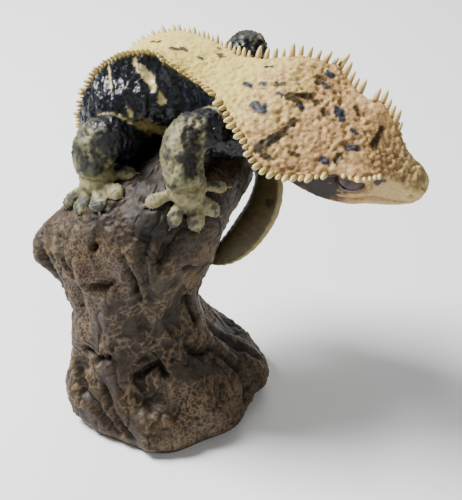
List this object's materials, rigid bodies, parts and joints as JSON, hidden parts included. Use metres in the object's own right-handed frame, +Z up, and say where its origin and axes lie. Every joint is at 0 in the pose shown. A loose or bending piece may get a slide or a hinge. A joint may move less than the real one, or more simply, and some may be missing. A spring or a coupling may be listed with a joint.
{
  "type": "gecko figurine on a stump",
  "caption": "Solid painted figurine of a crested gecko draped over the top of a gnarled driftwood stump, head out to one side and tail curled behind.",
  "frame": {"origin": "middle of the stump's flat foot, on the surface it stands on", "axes": "+Z up, +X towards the side the head hangs over, -Y towards the viewer who sees the right flank"},
  "size_m": [0.0813, 0.0529, 0.0825],
  "materials": {
    "wood_paint": "satin",
    "cream_paint": "satin",
    "flank_paint": "gloss",
    "limb_paint": "satin",
    "tail_paint": "satin",
    "eye_paint": "gloss"
  },
  "bodies": {
    "root": {"stump": "wood_paint", "head": "cream_paint", "neck": "cream_paint", "torso": "flank_paint", "hips": "flank_paint", "eye_left": "eye_paint", "eye_right": "eye_paint", "tail_1": "tail_paint", "tail_2": "tail_paint", "tail_3": "tail_paint", "tail_4": "tail_paint", "tail_5": "tail_paint", "leg_front_right": "limb_paint", "leg_front_left": "limb_paint", "leg_back_right": "limb_paint", "leg_back_left": "limb_paint"}
  },
  "joints": []
}
